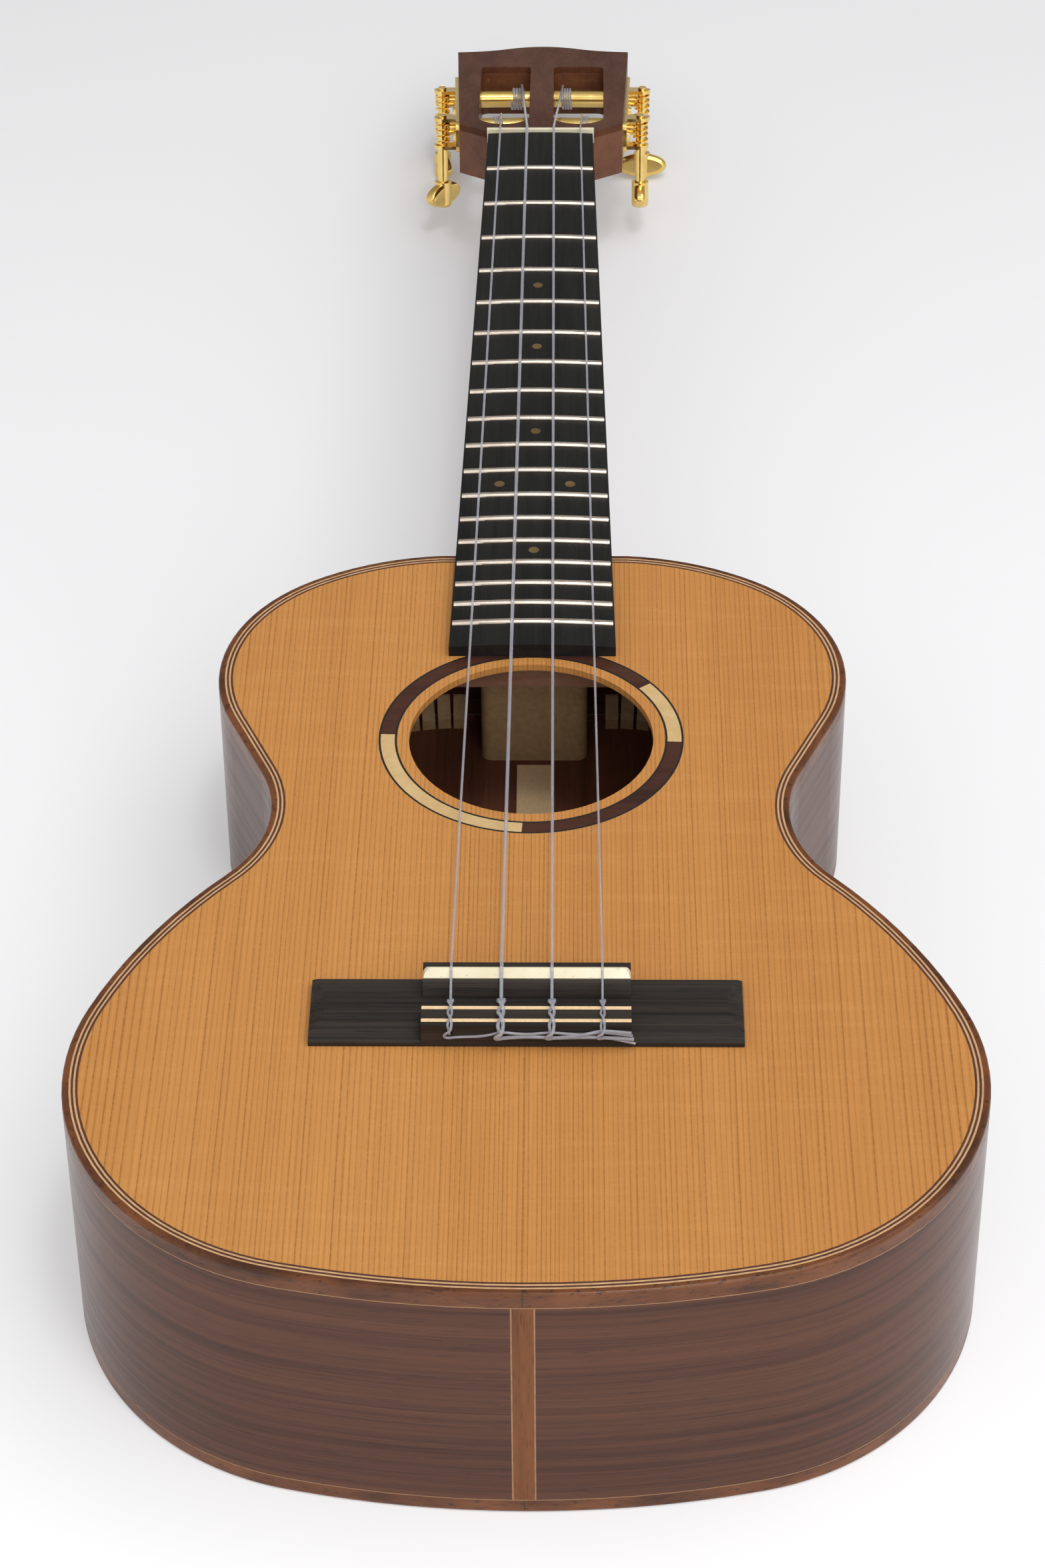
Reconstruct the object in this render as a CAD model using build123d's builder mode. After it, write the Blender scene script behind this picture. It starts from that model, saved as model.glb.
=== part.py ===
"""Tenor ukulele with a slotted headstock and four worm-geared machine heads.

The instrument is drawn about its soundboard: x across, y from the saddle towards the head, z up from
the top's surface. The plane `top` sets that drawing in the row frame, where the instrument lies on
its back on z = 0, on the tail edge of the back and the tips of the two far tuner buttons.
"""
import os
from math import atan2, cos, degrees, pi, radians, sin, tan

from build123d import *

# Body
tail_y = -106.0  # tail end of the outline, the saddle is at y = 0
tail_depth = 74.7
taper_angle = 2.65  # the back closes on the top towards the heel
outline_arcs = [(262.0, 12.9), (71.5, 96.4), (158.0, 22.1), (41.4, -65.1)]  # radius, sweep in degrees
waist_run = 25.0
shoulder_arcs = [(53.2, 79.9), (75.9, 29.5)]
wall = 1.8  # sides, and the width of the bindings
plate = 2.0  # soundboard and back
binding_height = 4.4
line_height = 0.25  # light line between a binding and the side
purfling_depth = 1.0
purfling_insets = [1.8, 2.3, 2.9, 3.4, 4.0]  # light, dark, light, dark
graft_half = 2.57
graft_line = 0.35

# Sound hole and rosette
hole_y = 104.84
hole_radius = 33.26
rosette_radii = [36.5, 37.1, 40.9, 41.5]
rosette_depth = 0.8
light_sectors = [(178.0, 267.0), (357.5, 397.0)]
dark_sectors = [(267.0, 357.5), (37.0, 107.5), (107.5, 178.0)]

# Strings and fretboard
scale_length = 432.0
fret_count = 18
board_end_y = 142.0
board_half_nut = 17.5
board_half_end = 23.3
board_crown = 4.1  # thickness on the centre line
board_radius = 300.0
fret_height = 1.0
fret_width = 2.0
dot_radius = 1.5
dot_places = [(0, 333.8), (0, 297.6), (0, 250.1), (-10.4, 222.0), (10.4, 222.0), (0, 187.9)]
nut_length = 5.0
nut_height = 5.2
saddle_top = 9.0
saddle_fall = 1.35  # the saddle's top slopes down behind the string's contact
string_names = ["g", "c", "e", "a"]
string_radii = [0.33, 0.47, 0.40, 0.30]
saddle_spacing = 12.6
nut_spacing = 8.95

# Bridge
bridge_half = 54.05
block_half = 26.0
bridge_back_y = -20.6
bridge_front_y = 2.0
tie_front_y = -12.0
tie_top = 7.0
tie_hole_z = 4.4
tie_hole_radius = 0.75
lip_top = 8.3
saddle_front_y = -0.5
saddle_thick = 3.0
slot_floor = 4.0
inlay_places = [-13.95, -18.65]
inlay_width = 1.2
inlay_depth = 0.6

# Neck and head
neck_depth_nut = 15.0
neck_depth_heel = 16.5
head_angle = 13.0
head_y = scale_length + nut_length
head_z = 1.5
head_thick = 17.0
veneer = 2.2
shoulder_half, shoulder_s = 27.6, 9.5
tip_half, tip_s = 30.5, 102.0
crown_s = 109.5
slot_centre = 12.8
slot_half = 8.7
slot_near, slot_far = 9.6, 82.0

# Machine heads, drawn on the head's side faces: u along the head, v up to the face, w outwards
axis_depth = 9.5  # roller axes below the head's face
axis_mid_s = 56.5
axis_half = 17.5  # half the distance between two rollers
plate_thick = 1.2
plate_near_u, plate_far_u = -32.0, 29.5
plate_half_width = 5.4
roller_radius = 3.0
roller_reach = 28.0
gear_teeth = 14
gear_module = 2 * 4.4 / gear_teeth
gear_mid_w = 5.8
gear_thick = 2.2
gear_tip, gear_root = 4.85, 3.75
worm_offset = 6.6  # centre distance of worm and gear
worm_crest, worm_root = 2.62, 1.6
thread_pitch = pi * gear_module
worm_half = 2 * thread_pitch
thread_crest_width, thread_root_width = 0.42, 0.95
tooth_tip_width, tooth_root_width = 0.42, 1.02
lug_inner, lug_outer = 4.2, 5.4
plate_screw_places = [-29.2, 1.0, 26.4]
screw_shank = 1.1
screw_length = 6.5
shaft_radius = 1.4
bearing_gap = 0.06
button_top_v, button_low_v = -17.4, -26.4
button_half = 8.75
button_angles = [-56.0, 80.0, 0.0, 90.0]  # wings turned from across the head, string by string

# Row frame
lie_angle = 2.42  # the soundboard slopes down towards the head by this much
middle_y = 216.6  # drawing y of the middle of the whole length


def tilted(angle):
    """Unit vector that leans from +Z towards +Y"""
    return (0, sin(radians(angle)), cos(radians(angle)))


saddle_rise = tail_depth * cos(radians(lie_angle)) + tail_y * sin(radians(lie_angle))
top = Plane(origin=(0, -middle_y, saddle_rise), x_dir=(1, 0, 0), z_dir=tilted(lie_angle))
depth_at_saddle = tail_depth + tail_y * tan(radians(taper_angle))
back = Plane(
    origin=top.from_local_coords((0, 0, -depth_at_saddle)),
    x_dir=(1, 0, 0),
    z_dir=tilted(lie_angle - taper_angle),
)
head = Plane(
    origin=top.from_local_coords((0, head_y, head_z)),
    x_dir=(1, 0, 0),
    z_dir=tilted(lie_angle + head_angle),
)


def across(y):
    """Plane that cuts the instrument across at y; sketch axes are x and z, its normal is -y"""
    return Plane(origin=top.from_local_coords((0, y, 0)), x_dir=(1, 0, 0), z_dir=-top.y_dir)


def along(x):
    """Plane that cuts the instrument lengthwise at x; sketch axes are y and z, its normal is +x"""
    return Plane(origin=top.from_local_coords((x, 0, 0)), x_dir=top.y_dir, z_dir=(1, 0, 0))


def save(part, name):
    """Label a finished piece and write its STEP"""
    part.label = name
    export_step(part, f"parts/{name}.step")


def draw_outline():
    """Face of the body outline on the drawing's own XY plane"""
    with BuildSketch() as sketch:
        with BuildLine():
            run = Line((0, tail_y), (0.01, tail_y))
            for radius, sweep in outline_arcs:
                run = JernArc(run @ 1, run % 1, radius, sweep)
            end = (run @ 1) + (run % 1) * waist_run
            run = Line(run @ 1, end)
            for radius, sweep in shoulder_arcs:
                run = JernArc(run @ 1, run % 1, radius, sweep)
            Line(run @ 1, (0, (run @ 1).Y))
            mirror(about=Plane.YZ)
        make_face()
    return sketch.sketch


outline = draw_outline()
joint_y = outline.bounding_box().max.Y
insets = {0.0: outline}
for inset in purfling_insets + [wall + 5.0]:
    insets[inset] = offset(outline, -inset)


def ring(outer, inner):
    """Band of the outline between two insets"""
    with BuildSketch() as sketch:
        add(insets[outer])
        add(insets[inner], mode=Mode.SUBTRACT)
    return sketch.sketch


def board_half(y):
    """Half the fretboard's width at y"""
    share = (scale_length - y) / (scale_length - board_end_y)
    return board_half_nut + share * (board_half_end - board_half_nut)


# Body ------------------------------------------------------------------------------------------


def soundboard():
    with BuildPart() as piece:
        with BuildSketch(top):
            add(insets[purfling_insets[0]])
            with Locations((0, hole_y)):
                Circle(hole_radius, mode=Mode.SUBTRACT)
        extrude(amount=-plate)
        with BuildSketch(top):
            with Locations((0, hole_y)):
                Circle(rosette_radii[-1])
                Circle(rosette_radii[0], mode=Mode.SUBTRACT)
        extrude(amount=-rosette_depth, mode=Mode.SUBTRACT)
        with BuildSketch(top):
            add(ring(purfling_insets[0], purfling_insets[-1]))
        extrude(amount=-purfling_depth, mode=Mode.SUBTRACT)
    return piece.part


def rosette_lines():
    with BuildPart() as piece:
        for inner, outer in (rosette_radii[:2], rosette_radii[2:]):
            with BuildSketch(top):
                with Locations((0, hole_y)):
                    Circle(outer)
                    Circle(inner, mode=Mode.SUBTRACT)
            extrude(amount=-rosette_depth)
    return piece.part


def rosette_sectors(sectors):
    """Ring segments between the two lines"""
    reach = 70.0
    with BuildPart() as piece:
        for start, end in sectors:
            rays = [radians(start), radians((start + end) / 2), radians(end)]
            with BuildSketch(top):
                with Locations((0, hole_y)):
                    Polygon(
                        (0, 0),
                        *[(reach * cos(ray), reach * sin(ray)) for ray in rays],
                        align=None,
                    )
                    Circle(rosette_radii[2], mode=Mode.INTERSECT)
                    Circle(rosette_radii[1], mode=Mode.SUBTRACT)
            extrude(amount=-rosette_depth)
    return piece.part


def purfling(first):
    """Two flat strips inlaid round the top, every other one of the four"""
    with BuildPart() as piece:
        for index in (first, first + 2):
            with BuildSketch(top):
                add(ring(purfling_insets[index], purfling_insets[index + 1]))
            extrude(amount=-purfling_depth)
    return piece.part


def top_binding():
    with BuildPart() as piece:
        with BuildSketch(top):
            add(ring(0.0, wall))
        extrude(amount=-binding_height)
        rim = piece.faces().sort_by(Axis(top.origin, top.z_dir))[-1].outer_wire()
        fillet(rim.edges(), radius=0.9)
        split(bisect_by=Plane.YZ, keep=Keep.BOTH)
    return piece.part


def between_backs(profile, low, high):
    """Extrude a profile down through the body and keep it between two heights over the back"""
    with BuildPart() as piece:
        with BuildSketch(top.offset(-tail_depth / 2)):
            add(profile)
        extrude(amount=-tail_depth)
        split(bisect_by=back.offset(high), keep=Keep.BOTTOM)
        split(bisect_by=back.offset(low), keep=Keep.TOP)
    return piece.part


def back_binding():
    with BuildPart() as piece:
        add(between_backs(ring(0.0, wall), 0, binding_height))
        rim = piece.faces().sort_by(Axis(back.origin, back.z_dir))[0].outer_wire()
        fillet(rim.edges(), radius=0.9)
        split(bisect_by=Plane.YZ, keep=Keep.BOTH)
    return piece.part


def graft_box(half, mode):
    """Slab through the tail end of the side wall, added or cut"""
    slab = Plane(origin=top.from_local_coords((0, tail_y, -tail_depth / 2)), z_dir=top.z_dir, x_dir=(1, 0, 0))
    with BuildPart(slab, mode=Mode.PRIVATE) as piece:
        Box(2 * half, 20, 2 * tail_depth)
    add(piece.part, mode=mode)


def side_wall():
    """Whole bent side between the two light lines, before it is cut in halves"""
    with BuildPart() as piece:
        with BuildSketch(top.offset(-binding_height - line_height)):
            add(ring(0.0, wall))
        extrude(amount=-tail_depth)
        split(bisect_by=back.offset(binding_height + line_height), keep=Keep.TOP)
    return piece.part


def side(wall_part, sign):
    with BuildPart() as piece:
        add(wall_part)
        graft_box(graft_half + graft_line, Mode.SUBTRACT)
        split(bisect_by=Plane.YZ, keep=Keep.TOP if sign > 0 else Keep.BOTTOM)
    return piece.part


def end_graft(wall_part):
    with BuildPart() as piece:
        add(wall_part)
        graft_box(graft_half, Mode.INTERSECT)
    return piece.part


def side_lines(wall_part):
    """Thin light lines: under the top binding, over the back binding and beside the end graft"""
    with BuildPart() as piece:
        with BuildSketch(top.offset(-binding_height)):
            add(ring(0.0, wall))
        extrude(amount=-line_height)
        add(between_backs(ring(0.0, wall), binding_height, binding_height + line_height))
    with BuildPart() as strips:
        add(wall_part)
        graft_box(graft_half + graft_line, Mode.INTERSECT)
        graft_box(graft_half, Mode.SUBTRACT)
    return Compound([*piece.part.solids(), *strips.part.solids()])


def back_plate():
    return between_backs(insets[wall], 0, plate)


neck_block_width, tail_block_width = 31.0, 50.0


def lining_plan():
    with BuildSketch() as sketch:
        add(ring(wall, wall + 5.0))
        with Locations((0, joint_y - wall - 9)):
            Rectangle(neck_block_width + 0.4, 40, mode=Mode.SUBTRACT)
        with Locations((0, tail_y + wall + 7)):
            Rectangle(tail_block_width + 0.4, 40, mode=Mode.SUBTRACT)
    return sketch.sketch


def linings():
    """Glue strips in the corners of the body, under the top and over the back"""
    with BuildPart() as piece:
        with BuildSketch(top.offset(-plate)):
            add(lining_plan())
        extrude(amount=-10)
        add(between_backs(lining_plan(), plate, plate + 10))
    return piece.part


def block(plan_y, width, depth):
    """Solid block between the top and the back, against the inside of the side wall"""
    with BuildPart() as piece:
        with BuildSketch(top.offset(-plate)):
            with Locations((0, plan_y)):
                RectangleRounded(width, depth, 3)
            add(insets[wall], mode=Mode.INTERSECT)
        extrude(amount=-tail_depth)
        split(bisect_by=back.offset(plate), keep=Keep.TOP)
    return piece.part


def brace(plane, middle, length, width, height, angle=0.0):
    """One rounded bar, glued flat on the plane, with its ends left square"""
    with BuildPart(plane, mode=Mode.PRIVATE) as piece:
        with Locations(Location((*middle, -height / 2 if plane == under_top else height / 2), (0, 0, angle))):
            Box(length, width, height)
    return piece.part


under_top = top.offset(-plate)
over_back = back.offset(plate)


def top_braces():
    """Two bars across the top, three fan bars behind the sound hole"""
    patch_front, patch_back = 14.0, -32.0
    with BuildPart() as piece:
        add(brace(under_top, (0, 148.5), 180, 7, 11))
        add(brace(under_top, (0, 60.0), 160, 6, 10))
        for x, angle in ((-30, 84), (0, 90), (30, 96)):
            add(brace(under_top, (x, (patch_front + 57) / 2), 57 - patch_front - 2, 5, 6, angle))
            add(brace(under_top, (x * 1.35, (patch_back - 80) / 2), 44, 5, 6, angle))
        with BuildSketch(under_top):
            add(insets[wall + 5.0])
        extrude(amount=-20, mode=Mode.INTERSECT)
    return piece.part


def bridge_patch():
    with BuildPart() as piece:
        add(brace(under_top, (0, -9.3), 120, 40, 2))
    return piece.part


def back_braces():
    with BuildPart() as piece:
        for y, length in ((126.0, 180), (48.0, 180), (-38.0, 230)):
            add(brace(over_back, (0, y), length, 7, 11))
        add(between_backs(insets[wall + 5.0], plate, plate + 20), mode=Mode.INTERSECT)
    return piece.part


def back_strip():
    """Cross-grain strip along the back's centre seam, in the bays between the braces"""
    bays = [(-88.0, -42.5), (-33.5, 43.5), (52.5, 121.5), (130.5, 168.0)]
    with BuildPart() as piece:
        for start, end in bays:
            add(brace(over_back, (0, (start + end) / 2), 10, end - start, 1.5))
    return piece.part


# Neck and head ---------------------------------------------------------------------------------


def neck_section(y, depth):
    with BuildSketch(across(y)) as sketch:
        with BuildLine():
            half = board_half(y)
            Line((-half, 0), (half, 0))
            Spline((half, 0), (0, -depth), (-half, 0), tangents=[(0, -1), (0, 1)])
        make_face()
    return sketch.sketch


def heel_section(height, half, length):
    with BuildSketch(top.offset(height)) as sketch:
        with BuildLine():
            Line((half, joint_y), (-half, joint_y))
            Spline(
                (-half, joint_y),
                (0, joint_y + length),
                (half, joint_y),
                tangents=[(0, 1), (0, -1)],
            )
        make_face()
    return sketch.sketch


def head_outline():
    """Plan of the head on its own plane"""
    with BuildSketch() as sketch:
        with BuildLine():
            Polyline(
                (0, 0),
                (board_half_nut + 0.4, 0),
                (shoulder_half, shoulder_s),
                (tip_half, tip_s),
            )
            Spline(
                (tip_half, tip_s),
                (tip_half * 0.55, tip_s + 2.6),
                (0, crown_s),
                tangents=[(-1, 0.08), (-1, 0)],
            )
            mirror(about=Plane.YZ)
        make_face()
    return sketch.sketch


def head_slots():
    """Two open slots, round at the nut end"""
    with BuildSketch() as sketch:
        for sign in (-1, 1):
            with Locations((sign * slot_centre, slot_near + slot_half)):
                Circle(slot_half)
            with Locations((sign * slot_centre, (slot_near + slot_half + slot_far) / 2)):
                Rectangle(2 * slot_half, slot_far - slot_near - slot_half)
        corners = sketch.vertices().group_by(Axis.Y)[-1]
        fillet(corners, radius=2.5)
    return sketch.sketch


side_lean = degrees(atan2(tip_half - shoulder_half, tip_s - shoulder_s))


def side_plane(sign):
    """Plane on the head's side face, with its origin half way between the two roller axes"""
    share = (axis_mid_s - shoulder_s) / (tip_s - shoulder_s)
    x = sign * (shoulder_half + share * (tip_half - shoulder_half))
    lean = radians(side_lean)
    outward = head.x_dir * (sign * cos(lean)) - head.y_dir * sin(lean)
    forward = head.x_dir * (sign * sin(lean)) + head.y_dir * cos(lean)
    return Plane(
        origin=head.from_local_coords((x, axis_mid_s, -axis_depth)),
        x_dir=forward if sign > 0 else -forward,
        z_dir=outward,
    )


def on_side(sign, u, w=0.0):
    """Plane on a side face at u along the head and w outwards; its own y is up to the head's face"""
    base = side_plane(sign)
    return Plane(
        origin=base.from_local_coords((u * sign, 0, w)),
        x_dir=base.x_dir,
        z_dir=base.z_dir,
    )


def worm_plane(sign, u):
    """Plane across a worm's axis at the gear's middle, x towards the gear, z up to the head's face"""
    base = on_side(sign, u - worm_offset, gear_mid_w)
    return Plane(origin=base.origin, x_dir=base.x_dir * sign, z_dir=base.y_dir)


def rollers_cut():
    """Bores for the rollers and screw holes for the tuner plates"""
    with BuildPart(mode=Mode.PRIVATE) as piece:
        for sign in (-1, 1):
            for u in (-axis_half, axis_half):
                with BuildSketch(on_side(sign, u)):
                    Circle(roller_radius + bearing_gap)
                extrude(amount=-roller_reach - 0.3)
            for u in plate_screw_places:
                with BuildSketch(on_side(sign, u)):
                    Circle(screw_shank)
                extrude(amount=-screw_length)
    return piece.part


def neck():
    """Shaft, heel and head in one piece of wood"""
    sections = [(0.0, 22.0, 62), (-12, 21.4, 44), (-22, 18.5, 27), (-36, 15, 18), (-50, 13, 15), (-66, 12, 14)]
    with BuildPart() as piece:
        loft([neck_section(joint_y, neck_depth_heel), neck_section(head_y, neck_depth_nut)])
        loft([heel_section(*section) for section in sections])
        split(bisect_by=back.offset(plate), keep=Keep.TOP)
        with BuildSketch(head.offset(-veneer)):
            add(head_outline())
        extrude(amount=veneer - head_thick)
        with BuildSketch(head):
            add(head_slots())
        extrude(amount=-head_thick - 1, mode=Mode.SUBTRACT)
        add(rollers_cut(), mode=Mode.SUBTRACT)
    return piece.part


def head_veneer():
    with BuildPart() as piece:
        with BuildSketch(head):
            add(head_outline())
            add(head_slots(), mode=Mode.SUBTRACT)
        extrude(amount=-veneer)
        split(bisect_by=across(head_y), keep=Keep.BOTTOM)
    return piece.part


def heel_cap():
    with BuildPart() as piece:
        with BuildSketch(top.offset(-tail_depth / 2)):
            with BuildLine():
                Line((12.0, joint_y), (-12.0, joint_y))
                Spline((-12.0, joint_y), (0, joint_y + 14), (12.0, joint_y), tangents=[(0, 1), (0, -1)])
            make_face()
        extrude(amount=-tail_depth)
        split(bisect_by=back.offset(plate), keep=Keep.BOTTOM)
        split(bisect_by=back, keep=Keep.TOP)
    return piece.part


# Fretboard ---------------------------------------------------------------------------------------


def crowned(half, low, rise):
    """Cross-section with a flat bottom and a top on the fretboard's radius, `rise` above it"""
    radius = board_radius + rise
    centre = board_crown - board_radius
    edge = centre + (radius**2 - half**2) ** 0.5
    with BuildSketch() as sketch:
        with BuildLine():
            Polyline((-half, edge), (-half, low), (half, low), (half, edge))
            ThreePointArc((half, edge), (0, centre + radius), (-half, edge))
        make_face()
    return sketch.sketch


def dot_rods(low):
    with BuildPart(mode=Mode.PRIVATE) as piece:
        with BuildSketch(top.offset(low)):
            with Locations(*dot_places):
                Circle(dot_radius)
        extrude(amount=10)
    return piece.part


def fretboard():
    with BuildPart() as piece:
        with BuildSketch(across(scale_length)):
            add(crowned(board_half_end + 1, 0, 0))
        extrude(amount=scale_length - board_end_y)
        with BuildSketch(top):
            Polygon(
                (-board_half_nut, scale_length),
                (board_half_nut, scale_length),
                (board_half_end, board_end_y),
                (-board_half_end, board_end_y),
                align=None,
            )
        extrude(amount=10, mode=Mode.INTERSECT)
        add(dot_rods(2.4), mode=Mode.SUBTRACT)
    return piece.part


def fret_dots():
    with BuildPart() as piece:
        with BuildSketch(across(scale_length)):
            add(crowned(board_half_end + 1, 0, 0))
        extrude(amount=scale_length - board_end_y)
        add(dot_rods(2.4), mode=Mode.INTERSECT)
    return piece.part


def frets():
    """Fret wire crowns, seated on the board's curve"""
    with BuildPart() as piece:
        for number in range(1, fret_count + 1):
            y = scale_length * 2 ** (-number / 12)
            half = board_half(y) - 0.5
            with BuildPart(mode=Mode.PRIVATE) as wire:
                with BuildSketch(across(y + fret_width / 2)):
                    add(crowned(half, 0, fret_height))
                    add(crowned(half + 1, 0, 0), mode=Mode.SUBTRACT)
                extrude(amount=fret_width)
                crown = wire.faces().sort_by(Axis(top.origin, top.z_dir))[-1]
                fillet(crown.edges().filter_by(GeomType.CIRCLE), radius=0.85)
            add(wire.part)
    return piece.part


def nut():
    with BuildPart() as piece:
        with BuildSketch(along(-board_half_nut - 0.4)):
            Polygon(
                (scale_length, 0),
                (head_y, 0),
                (head_y, nut_height - 2.1),
                (scale_length + 1.2, nut_height),
                (scale_length, nut_height - 0.1),
                align=None,
            )
        extrude(amount=2 * board_half_nut + 0.8)
        ends = piece.edges().filter_by(GeomType.LINE).group_by(Axis(top.origin, top.z_dir))[-1]
        chamfer(ends, length=0.25)
    return piece.part


# Bridge ------------------------------------------------------------------------------------------


def bridge():
    with BuildPart() as piece:
        with BuildSketch(along(-bridge_half)):
            with BuildLine():
                Polyline(
                    (bridge_front_y, 2.4),
                    (bridge_front_y, 0),
                    (bridge_back_y, 0),
                    (bridge_back_y, 1.3),
                )
                ThreePointArc((bridge_back_y, 1.3), (-9.3, 3.3), (bridge_front_y, 2.4))
            make_face()
        extrude(amount=2 * bridge_half)
        with BuildSketch(across(bridge_front_y)):
            bevel = bridge_half - 4.2
            Polygon(
                (-bridge_half, 0),
                (bridge_half, 0),
                (bridge_half, 2.0),
                (bevel, 3.4),
                (-bevel, 3.4),
                (-bridge_half, 2.0),
                align=None,
            )
        extrude(amount=bridge_front_y - bridge_back_y, mode=Mode.INTERSECT)
        with BuildSketch(along(-block_half)):
            Polygon(
                (bridge_back_y, 0),
                (bridge_back_y, tie_top),
                (tie_front_y, tie_top),
                (tie_front_y, 3.0),
                (-6.2, 3.0),
                (-4.5, lip_top - 1.4),
                (-3.9, lip_top - 0.9),
                (saddle_front_y - saddle_thick / 2, lip_top - 0.9),
                (saddle_front_y - saddle_thick / 2, lip_top),
                (bridge_front_y - 0.3, lip_top),
                (bridge_front_y, lip_top - 0.3),
                (bridge_front_y, 0),
                align=None,
            )
        extrude(amount=2 * block_half)
        with BuildSketch(along(-block_half)):
            with Locations((saddle_front_y - saddle_thick / 2, (slot_floor + 20) / 2)):
                Rectangle(saddle_thick, 20 - slot_floor)
            for y in inlay_places:
                with Locations((y, tie_top)):
                    Rectangle(inlay_width, 2 * inlay_depth)
        extrude(amount=2 * block_half, mode=Mode.SUBTRACT)
        with BuildSketch(across(tie_front_y + 0.5)):
            for index in range(4):
                with Locations((saddle_x(index), tie_hole_z)):
                    Circle(tie_hole_radius)
        extrude(amount=tie_front_y - bridge_back_y + 1.5, mode=Mode.SUBTRACT)
    return piece.part


def bridge_inlays():
    with BuildPart() as piece:
        for y in inlay_places:
            with BuildSketch(along(-block_half)):
                with Locations((y, tie_top - inlay_depth / 2)):
                    Rectangle(inlay_width, inlay_depth)
            extrude(amount=2 * block_half)
    return piece.part


def saddle():
    """Bone bar in the bridge's slot, round along its top and at its upper corners"""
    with BuildPart() as piece:
        with BuildSketch(across(saddle_front_y)) as bar:
            with Locations((0, (slot_floor + saddle_top) / 2)):
                Rectangle(2 * block_half, saddle_top - slot_floor)
            fillet(bar.vertices().group_by(Axis.Y)[-1], radius=2.2)
        extrude(amount=saddle_thick)
        with BuildSketch(along(-block_half)):
            Polygon(
                (saddle_front_y, slot_floor),
                (saddle_front_y, saddle_top - 0.35),
                (saddle_front_y - 0.35, saddle_top),
                (saddle_front_y - 0.8, saddle_top),
                (saddle_front_y - saddle_thick, saddle_top - saddle_fall),
                (saddle_front_y - saddle_thick, slot_floor),
                align=None,
            )
        extrude(amount=2 * block_half, mode=Mode.INTERSECT)
    return piece.part


# Strings -----------------------------------------------------------------------------------------


def saddle_x(index):
    return (index - 1.5) * saddle_spacing


def nut_x(index):
    return (index - 1.5) * nut_spacing


def roller_spot(index):
    """Side and place along the side face of the roller that holds a string"""
    sign = -1 if index < 2 else 1
    u = -axis_half if index in (0, 3) else axis_half
    return sign, u


def string(index):
    """One string: from its hole in the tie block over saddle and nut, down to just short of its winding"""
    radius = string_radii[index]
    x = saddle_x(index)
    sign, u = roller_spot(index)
    climb = roller_radius + 3 * radius + 0.3
    landing = on_side(sign, u).from_local_coords((0.2 * climb * sign, 0.98 * climb, winding_w(index)))
    landing = top.to_local_coords(landing)
    nut_point = Vector(nut_x(index), scale_length + 1.1, nut_height + radius + 0.02)
    points = [
        (landing.X, landing.Y, landing.Z),
        tuple(nut_point),
        (x, saddle_front_y - 0.7, saddle_top + radius + 0.02),
        (x, tie_front_y + 1.0, tie_hole_z),
        (x, bridge_back_y + 0.5, tie_hole_z),
    ]
    path = FilletPolyline(*points, radius=[2.5, 1.2, 1.2])
    path = top.location * path
    with BuildPart() as piece:
        with BuildSketch(Plane(origin=path @ 0, z_dir=path % 0)):
            Circle(radius)
        sweep(path=path)
    return piece.part


def winding_w(index):
    """Where along its roller a string arrives, measured outwards from the side face"""
    sign, u = roller_spot(index)
    x = 14.0 if index in (0, 3) else 7.2
    return x - abs(head.to_local_coords(on_side(sign, u).origin).X)


def winding(index):
    """The coil of string round its roller, just beside where the string arrives"""
    radius = string_radii[index]
    sign, u = roller_spot(index)
    turns = 4
    pitch = 2 * radius + 0.12
    start = winding_w(index) - pitch / 2
    coil_radius = roller_radius + radius + 0.01
    path = Helix(pitch=pitch, height=turns * pitch, radius=coil_radius)
    with BuildPart() as piece:
        with BuildSketch(Plane(origin=path @ 0, z_dir=path % 0)):
            Circle(radius)
        sweep(path=path, is_frenet=True)
    return on_side(sign, u, start).location * piece.part


# Machine heads -----------------------------------------------------------------------------------


def tuner_plate(sign):
    """Side plate with its two pairs of bent lugs, which hold the worm shafts"""
    with BuildPart() as piece:
        with BuildSketch(side_plane(sign)):
            with Locations((sign * (plate_near_u + plate_far_u) / 2, 0)):
                RectangleRounded(plate_far_u - plate_near_u, 2 * plate_half_width, 2.5)
            with Locations((-axis_half, 0), (axis_half, 0)):
                Circle(2.2 + bearing_gap, mode=Mode.SUBTRACT)
            with Locations(*[(u * sign, 0) for u in plate_screw_places]):
                Circle(screw_shank, mode=Mode.SUBTRACT)
        extrude(amount=plate_thick)
        for u in (-axis_half, axis_half):
            for low in (-lug_outer, lug_inner):
                with BuildSketch(worm_plane(sign, u).offset(low)):
                    reach = gear_mid_w - plate_thick
                    with Locations((0, sign * reach / 2)):
                        Rectangle(5.6, reach)
                    Circle(2.8)
                    Circle(shaft_radius + bearing_gap, mode=Mode.SUBTRACT)
                extrude(amount=lug_outer - lug_inner)
    return piece.part


def plate_screws():
    with BuildPart() as piece:
        for sign in (-1, 1):
            for u in plate_screw_places:
                with BuildSketch(on_side(sign, u)):
                    Circle(screw_shank)
                extrude(amount=plate_thick)
                with BuildSketch(on_side(sign, u)):
                    Circle(screw_shank)
                extrude(amount=-screw_length)
                with BuildSketch(on_side(sign, u, plate_thick)):
                    Circle(2.0)
                extrude(amount=1.0, taper=25)
    return piece.part


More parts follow.
